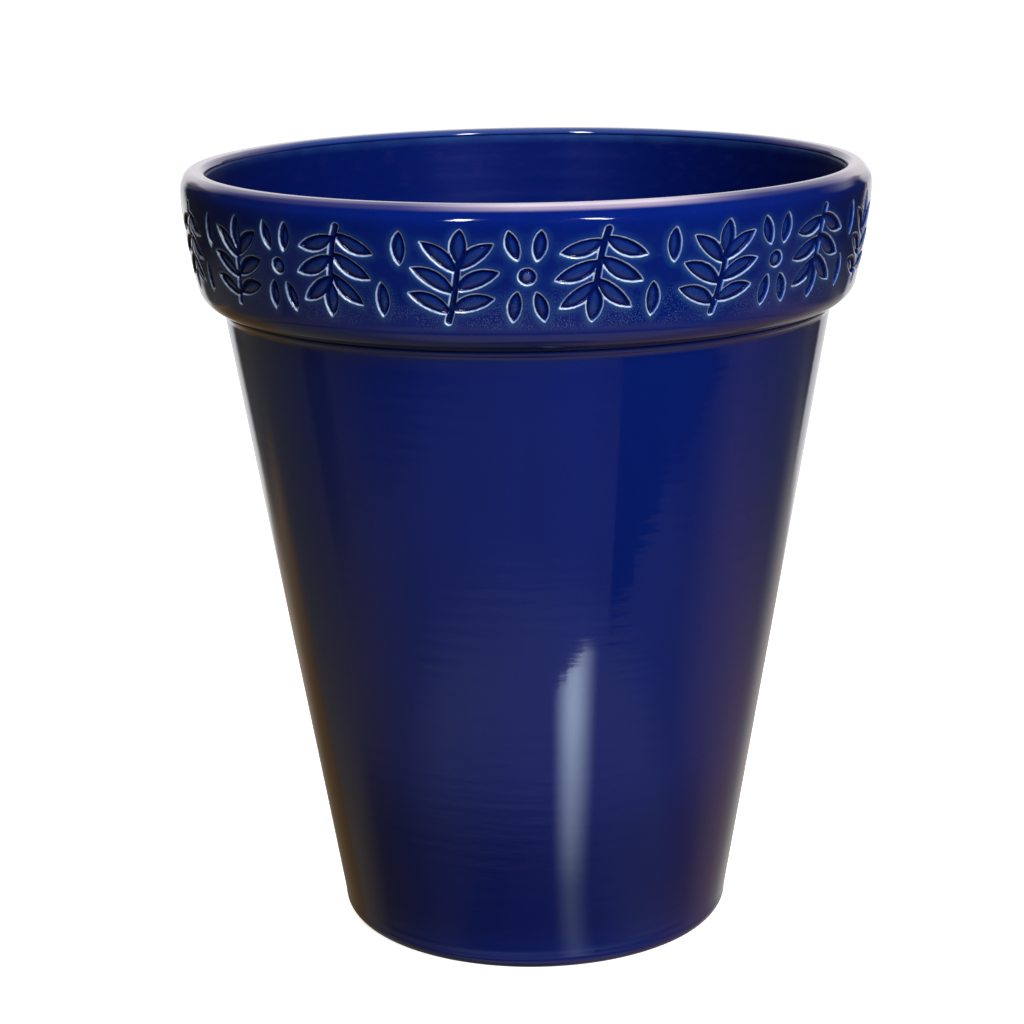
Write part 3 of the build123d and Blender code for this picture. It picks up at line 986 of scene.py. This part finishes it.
def terracotta(name):
    mat = bpy.data.materials.new(name)
    t = Tree(mat)
    pos = t.node("ShaderNodeTexCoord").outputs["Object"]
    x, y, z = t.split(pos)
    rad = t.math("SQRT", t.math("ADD", t.math("MULTIPLY", x, x), t.math("MULTIPLY", y, y)))
    cloud = t.noise(pos, 22.0, 5.0, 0.6)
    grain = t.noise(pos, 900.0, 3.0, 0.7)
    colour = t.mix(t.ramp(cloud, 0.32, 0.70), (0.30, 0.105, 0.048), (0.46, 0.185, 0.092))
    grog = t.ramp(t.voronoi(pos, 420.0), 0.08, 0.20, 1.0, 0.0)
    pick = t.ramp(t.noise(pos, 130.0, 1.0), 0.55, 0.62)
    colour = t.mix(t.math("MULTIPLY", t.math("MULTIPLY", grog, pick), 0.6), colour, (0.62, 0.36, 0.22))
    dark = t.ramp(t.voronoi(pos, 250.0), 0.05, 0.12, 1.0, 0.0)
    colour = t.mix(t.math("MULTIPLY", dark, 0.5), colour, (0.12, 0.045, 0.025))
    tool = t.noise(t.combine(rad, 0.0, t.math("MULTIPLY", z, 0.2)), 700.0, 2.0)
    colour = t.mix(t.math("MULTIPLY", t.ramp(tool, 0.4, 0.8), 0.25), colour, (0.24, 0.08, 0.04))
    bump = t.node("ShaderNodeBump")
    t.put(bump.inputs["Strength"], 0.6)
    t.put(bump.inputs["Distance"], 0.00025)
    t.put(bump.inputs["Height"], t.math("ADD", t.math("MULTIPLY", grain, 0.8), t.math("MULTIPLY", tool, 0.8)))
    b = t.node("ShaderNodeBsdfPrincipled")
    t.put(b.inputs["Base Color"], colour)
    t.put(b.inputs["Roughness"], t.ramp(grain, 0.3, 0.7, 0.78, 0.92))
    t.put(b.inputs["Specular IOR Level"], 0.3)
    t.put(b.inputs["Normal"], bump.outputs[0])
    out = t.node("ShaderNodeOutputMaterial")
    t.t.links.new(b.outputs[0], out.inputs[0])
    return mat


def dress(ob, mat):
    ob.data.materials.clear()
    ob.data.materials.append(mat)


dress(collar, glaze("glaze_collar", frieze=True, lip=True))
dress(body, glaze("glaze_outer"))
dress(inside, glaze("glaze_inner", inner=True))
fired = terracotta("fired_clay")
dress(clay, fired)
dress(clay_ring, fired)
dress(coil, fired)
for name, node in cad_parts.items():
    dress(node, fired)

# ------------------------------------------------------------------ stage: floor, light, camera
me = bpy.data.meshes.new("floor")
me.from_pydata([(-60, -60, 0), (60, -60, 0), (60, 60, 0), (-60, 60, 0)], [], [(0, 1, 2, 3)])
floor = bpy.data.objects.new("floor", me)
bpy.context.scene.collection.objects.link(floor)
floor_mat = bpy.data.materials.new("pale_floor")
t = Tree(floor_mat)
b = t.node("ShaderNodeBsdfPrincipled")
t.put(b.inputs["Base Color"], (0.86, 0.86, 0.86))
t.put(b.inputs["Roughness"], 0.9)
t.put(b.inputs["Specular IOR Level"], 0.0)
t.put(b.inputs["Emission Color"], (1.0, 1.0, 1.0))
t.put(b.inputs["Emission Strength"], t.math("MULTIPLY", t.node("ShaderNodeLightPath").outputs["Is Camera Ray"], 0.82))
out = t.node("ShaderNodeOutputMaterial")
t.t.links.new(b.outputs[0], out.inputs[0])
dress(floor, floor_mat)
floor.visible_glossy = False
floor.visible_diffuse = False


# a pool of window light on the floor, right of the camera, that only the glaze mirrors
card_v, card_f = [], []
for i in range(25):
    for j in range(29):
        r, a = 0.095 + 0.270 * i / 24, math.radians(5.0 + j)
        card_v.append((r * math.sin(a), -r * math.cos(a), 0.0002))
for i in range(24):
    for j in range(28):
        card_f.append((i * 29 + j, i * 29 + j + 1, (i + 1) * 29 + j + 1, (i + 1) * 29 + j))
me = bpy.data.meshes.new("window_light")
me.from_pydata(card_v, [], card_f)
card = bpy.data.objects.new("window_light", me)
bpy.context.scene.collection.objects.link(card)
card_mat = bpy.data.materials.new("window_light")
t = Tree(card_mat)
pos = t.node("ShaderNodeTexCoord").outputs["Object"]
x, y, z = t.split(pos)
rad = t.math("SQRT", t.math("ADD", t.math("MULTIPLY", x, x), t.math("MULTIPLY", y, y)))
ang = t.math("MULTIPLY", t.math("ARCTAN2", x, t.math("MULTIPLY", y, -1.0)), 57.29578)
gain = t.math("ADD", 0.9, t.ramp(rad, 0.100, 0.138, 0.0, 0.2, False))
gain = t.math("ADD", gain, t.ramp(rad, 0.138, 0.178, 0.0, 2.3, False))
gain = t.math("ADD", gain, t.ramp(rad, 0.178, 0.220, 0.0, 1.5, False))
gain = t.math("ADD", gain, t.ramp(rad, 0.220, 0.266, 0.0, 2.3, False))
torn = t.math("MULTIPLY", t.math("SUBTRACT", t.noise(t.combine(t.math("MULTIPLY", ang, 0.8), t.math("MULTIPLY", rad, 90.0), 0.0), 1.0, 4.0, 0.7), 0.5), 0.030)
end = t.math("ADD", t.math("ADD", 0.289, t.math("MULTIPLY", t.math("SUBTRACT", ang, 10.0), 0.0029)), torn)
left = t.math("ADD", 8.2, t.math("MULTIPLY", t.math("SUBTRACT", rad, 0.110), 9.0))
right_end = t.math("ADD", t.ramp(rad, 0.105, 0.215, 17.2, 22.2, False), t.ramp(rad, 0.215, 0.320, 0.0, 1.6, False))
light = t.math("MULTIPLY", t.ramp(t.math("SUBTRACT", ang, left), -2.6, 6.2), t.ramp(t.math("SUBTRACT", ang, right_end), -7.6, 3.2, 1.0, 0.0))
light = t.math("MULTIPLY", light, t.ramp(t.math("SUBTRACT", rad, end), -0.003, 0.003, 1.0, 0.0))
light = t.math("MULTIPLY", light, t.ramp(t.node("ShaderNodeLightPath").outputs["Ray Length"], 0.258, 0.268, 1.0, 0.0))
e = t.node("ShaderNodeEmission")
t.put(e.inputs["Color"], (0.72, 0.88, 1.0))
t.put(e.inputs["Strength"], t.math("MULTIPLY", light, gain))
clear = t.node("ShaderNodeBsdfTransparent")
both = t.node("ShaderNodeAddShader")
t.t.links.new(clear.outputs[0], both.inputs[0])
t.t.links.new(e.outputs[0], both.inputs[1])
out = t.node("ShaderNodeOutputMaterial")
t.t.links.new(both.outputs[0], out.inputs[0])
dress(card, card_mat)
card.visible_camera = False
card.visible_diffuse = False
card.visible_shadow = False
card.visible_transmission = False


def area(name, place, aim, size, size_y, power, colour=(1, 1, 1), glossy=False):
    data = bpy.data.lights.new(name, "AREA")
    data.shape = "RECTANGLE"
    data.size, data.size_y = size, size_y
    data.energy = power
    data.color = colour
    ob = bpy.data.objects.new(name, data)
    ob.location = place
    ob.rotation_euler = (Vector(aim) - Vector(place)).to_track_quat("-Z", "Y").to_euler()
    ob.visible_glossy = glossy
    bpy.context.scene.collection.objects.link(ob)
    return ob


area("key", (0.46, -1.18, 1.02), (0, 0, 0.24), 0.9, 0.9, 26)
area("back", (-0.6, 1.9, 1.5), (0, 0, 0.2), 1.4, 1.4, 30)
area("top", (0.0, 0.0, 2.4), (0, 0, 0.1), 2.2, 2.2, 26)

world = bpy.data.worlds.new("studio")
bpy.context.scene.world = world
t = Tree(world)
path = t.node("ShaderNodeLightPath")
dirn = t.node("ShaderNodeTexCoord").outputs["Generated"]
dx, dy, dz = t.split(dirn)
DEG = 57.29578
az = t.math("MULTIPLY", t.math("ARCTAN2", dx, t.math("MULTIPLY", dy, -1.0)), DEG)     # 0 towards the camera, + to the right
el = t.math("MULTIPLY", t.math("ARCSINE", dz), DEG)
side = t.math("ABSOLUTE", az)
wave = t.math("SUBTRACT", t.noise(t.combine(t.math("MULTIPLY", az, 0.11), t.math("MULTIPLY", el, 0.55), 0.0), 1.0, 3.0, 0.6), 0.5)


def times(fac, rgb):
    n = t.node("ShaderNodeVectorMath", operation="SCALE")
    t.put(n.inputs[0], rgb)
    t.put(n.inputs["Scale"], fac)
    return n.outputs[0]


def plus(a, b):
    n = t.node("ShaderNodeVectorMath", operation="ADD")
    t.put(n.inputs[0], a)
    t.put(n.inputs[1], b)
    return n.outputs[0]


# what the glaze mirrors: a dim room in front of the pot
room = t.math("ADD", 0.17, t.math("MULTIPLY", t.band(el, -42.5, -39.5, -36.5, -33.5), 0.20))
dim = t.math("MULTIPLY", t.ramp(el, -31.0, -27.0, 0.0, 0.75), t.ramp(side, 60.0, 95.0, 1.0, 0.25))
room = t.math("MULTIPLY", room, t.math("SUBTRACT", 1.0, dim))
rgb = times(room, (1.0, 1.0, 1.0))
rgb = t.mix(t.ramp(el, -43.5, -52.0), rgb, (0.50, 0.43, 0.50))
rgb = t.mix(t.ramp(el, -72.0, -79.0), rgb, (0.13, 0.13, 0.20))
rgb = times(t.math("SUBTRACT", 1.0, t.math("MULTIPLY", t.ramp(el, -17.0, -12.0), 0.78)), rgb)
# a warm corner low on the left, a rosy one on the right
rgb = t.mix(t.math("MULTIPLY", t.ramp(az, -45.0, -90.0), t.ramp(el, -22.0, -32.0)), rgb, t.mix(t.ramp(el, -42.0, -34.0), (0.21, 0.20, 0.19), (0.24, 0.20, 0.13)))
rgb = t.mix(t.math("MULTIPLY", t.band(az, 70.0, 100.0, 135.0, 150.0), t.ramp(el, -20.0, -28.0)), rgb, (0.37, 0.26, 0.29))
# a door in shadow, right of the camera, its lower edge slanting
edge_hi = t.math("ADD", t.math("ADD", 66.0, t.math("MULTIPLY", t.math("ADD", el, 28.5), 4.3)), t.math("MULTIPLY", wave, 9.0))
edge_hi = t.math("MINIMUM", edge_hi, 84.0)
door = t.math("MULTIPLY", t.ramp(az, 36.6, 38.0), t.ramp(t.math("SUBTRACT", edge_hi, az), -1.5, 1.5))
door = t.math("MULTIPLY", door, t.ramp(el, -21.0, -17.0, 1.0, 0.0))
rgb = t.mix(door, rgb, (0.03, 0.04, 0.06))
rgb = t.mix(t.math("MULTIPLY", t.band(az, -100.0, -95.0, -88.0, -84.0), t.ramp(el, -30.0, -24.0, 0.0, 0.7)), rgb, (0.05, 0.05, 0.06))
# the floor just in front of the pot lies in its shade
bent = t.math("SUBTRACT", el, t.math("MULTIPLY", t.math("POWER", t.math("DIVIDE", t.math("MINIMUM", side, 100.0), 88.0), 2.0), 6.1))
shade = t.math("MULTIPLY", t.band(bent, -45.0, -42.4, -41.8, -37.6), t.math("MULTIPLY", t.ramp(side, 95.0, 120.0, 0.62, 0.20), t.ramp(az, -35.0, 15.0, 1.0, 0.68)))
rgb = times(t.math("SUBTRACT", 1.0, shade), rgb)
# white wall and floor behind the pot
tall = t.ramp(el, -18.4, -15.8)
level_on = t.ramp(el, -42.0, -34.0)
rgb = t.mix(t.math("MULTIPLY", t.math("MULTIPLY", t.ramp(az, 130.0, 156.0), t.math("SUBTRACT", 1.0, tall)), level_on), rgb, (0.56, 0.52, 0.50))
rgb = t.mix(t.math("MULTIPLY", t.math("MULTIPLY", t.ramp(az, -126.0, -137.0), t.ramp(el, -20.4, -18.0, 1.0, 0.0)), level_on), rgb, t.mix(t.ramp(el, -25.0, -18.5), (0.22, 0.138, 0.058), (0.34, 0.235, 0.150)))
rgb = t.mix(t.math("MULTIPLY", t.math("MULTIPLY", t.ramp(az, -143.0, -155.0), t.math("SUBTRACT", 1.0, tall)), level_on), rgb, t.mix(t.ramp(el, -25.0, -18.5), (0.22, 0.150, 0.085), (0.44, 0.345, 0.265)))
rgb = t.mix(t.math("MULTIPLY", t.math("MULTIPLY", t.ramp(side, 163.0, 178.0), t.math("SUBTRACT", 1.0, tall)), level_on), rgb, (0.30, 0.27, 0.26))
rgb = t.mix(t.math("MULTIPLY", t.math("ADD", t.ramp(az, 147.5, 151.5), t.ramp(az, -156.0, -149.0, 1.0, 0.0)), tall), rgb, (1.05, 1.04, 1.07))
# a pale ceiling, brighter towards the back
high = t.math("MAXIMUM", t.ramp(el, 12.0, 18.0), t.math("MULTIPLY", t.ramp(el, 5.5, 7.2), t.ramp(side, 162.0, 170.0)))
above = t.math("MULTIPLY", high, t.ramp(side, 122.0, 150.0))
rgb = t.mix(above, rgb, (1.10, 1.06, 1.12))
# two soft boxes in front, above the camera
for centre in (25.0, -24.0):
    box = t.math("MULTIPLY", t.ramp(t.math("ABSOLUTE", t.math("SUBTRACT", az, centre)), 2.8, 4.0, 1.0, 0.0), t.band(el, 25.0, 27.0, 46.0, 48.0))
    rgb = plus(rgb, times(box, (34.0, 34.0, 34.0)))
# soft light for everything that isn't mirrored: more from the front right, less from the left
soft = t.math("ADD", 0.05, t.math("MULTIPLY", t.ramp(el, 0.0, 60.0), 0.26))
soft = t.math("MULTIPLY", soft, t.ramp(az, -130.0, 70.0, 0.62, 1.16))
plain = times(soft, (1.0, 1.0, 1.02))
col = t.mix(path.outputs["Is Glossy Ray"], plain, rgb)
col = t.mix(path.outputs["Is Camera Ray"], col, (1.0, 1.0, 1.0))
bg = t.node("ShaderNodeBackground")
t.put(bg.inputs[0], col)
t.put(bg.inputs[1], 1.0)
out = t.node("ShaderNodeOutputWorld")
t.t.links.new(bg.outputs[0], out.inputs[0])

cam_data = bpy.data.cameras.new("camera")
cam_data.sensor_width = 36.0
cam_data.lens = 85.61
cam_data.clip_start = 0.01
camera = bpy.data.objects.new("camera", cam_data)
pitch, yaw, roll = 0.25236, -0.00772, -0.01563
fw = Vector((math.sin(yaw) * math.cos(pitch), math.cos(yaw) * math.cos(pitch), -math.sin(pitch)))
right = Vector((math.cos(yaw), -math.sin(yaw), 0.0))
up = right.cross(fw)
cx = right * math.cos(roll) + up * math.sin(roll)
cy = -right * math.sin(roll) + up * math.cos(roll)
m = Matrix((cx, cy, -fw)).transposed().to_4x4()
m.translation = Vector((0.0, -1.06575, 0.45822))
camera.matrix_world = m
bpy.context.scene.collection.objects.link(camera)
bpy.context.scene.camera = camera
bpy.context.scene.view_settings.view_transform = "Standard"
bpy.context.scene.view_settings.look = "None"
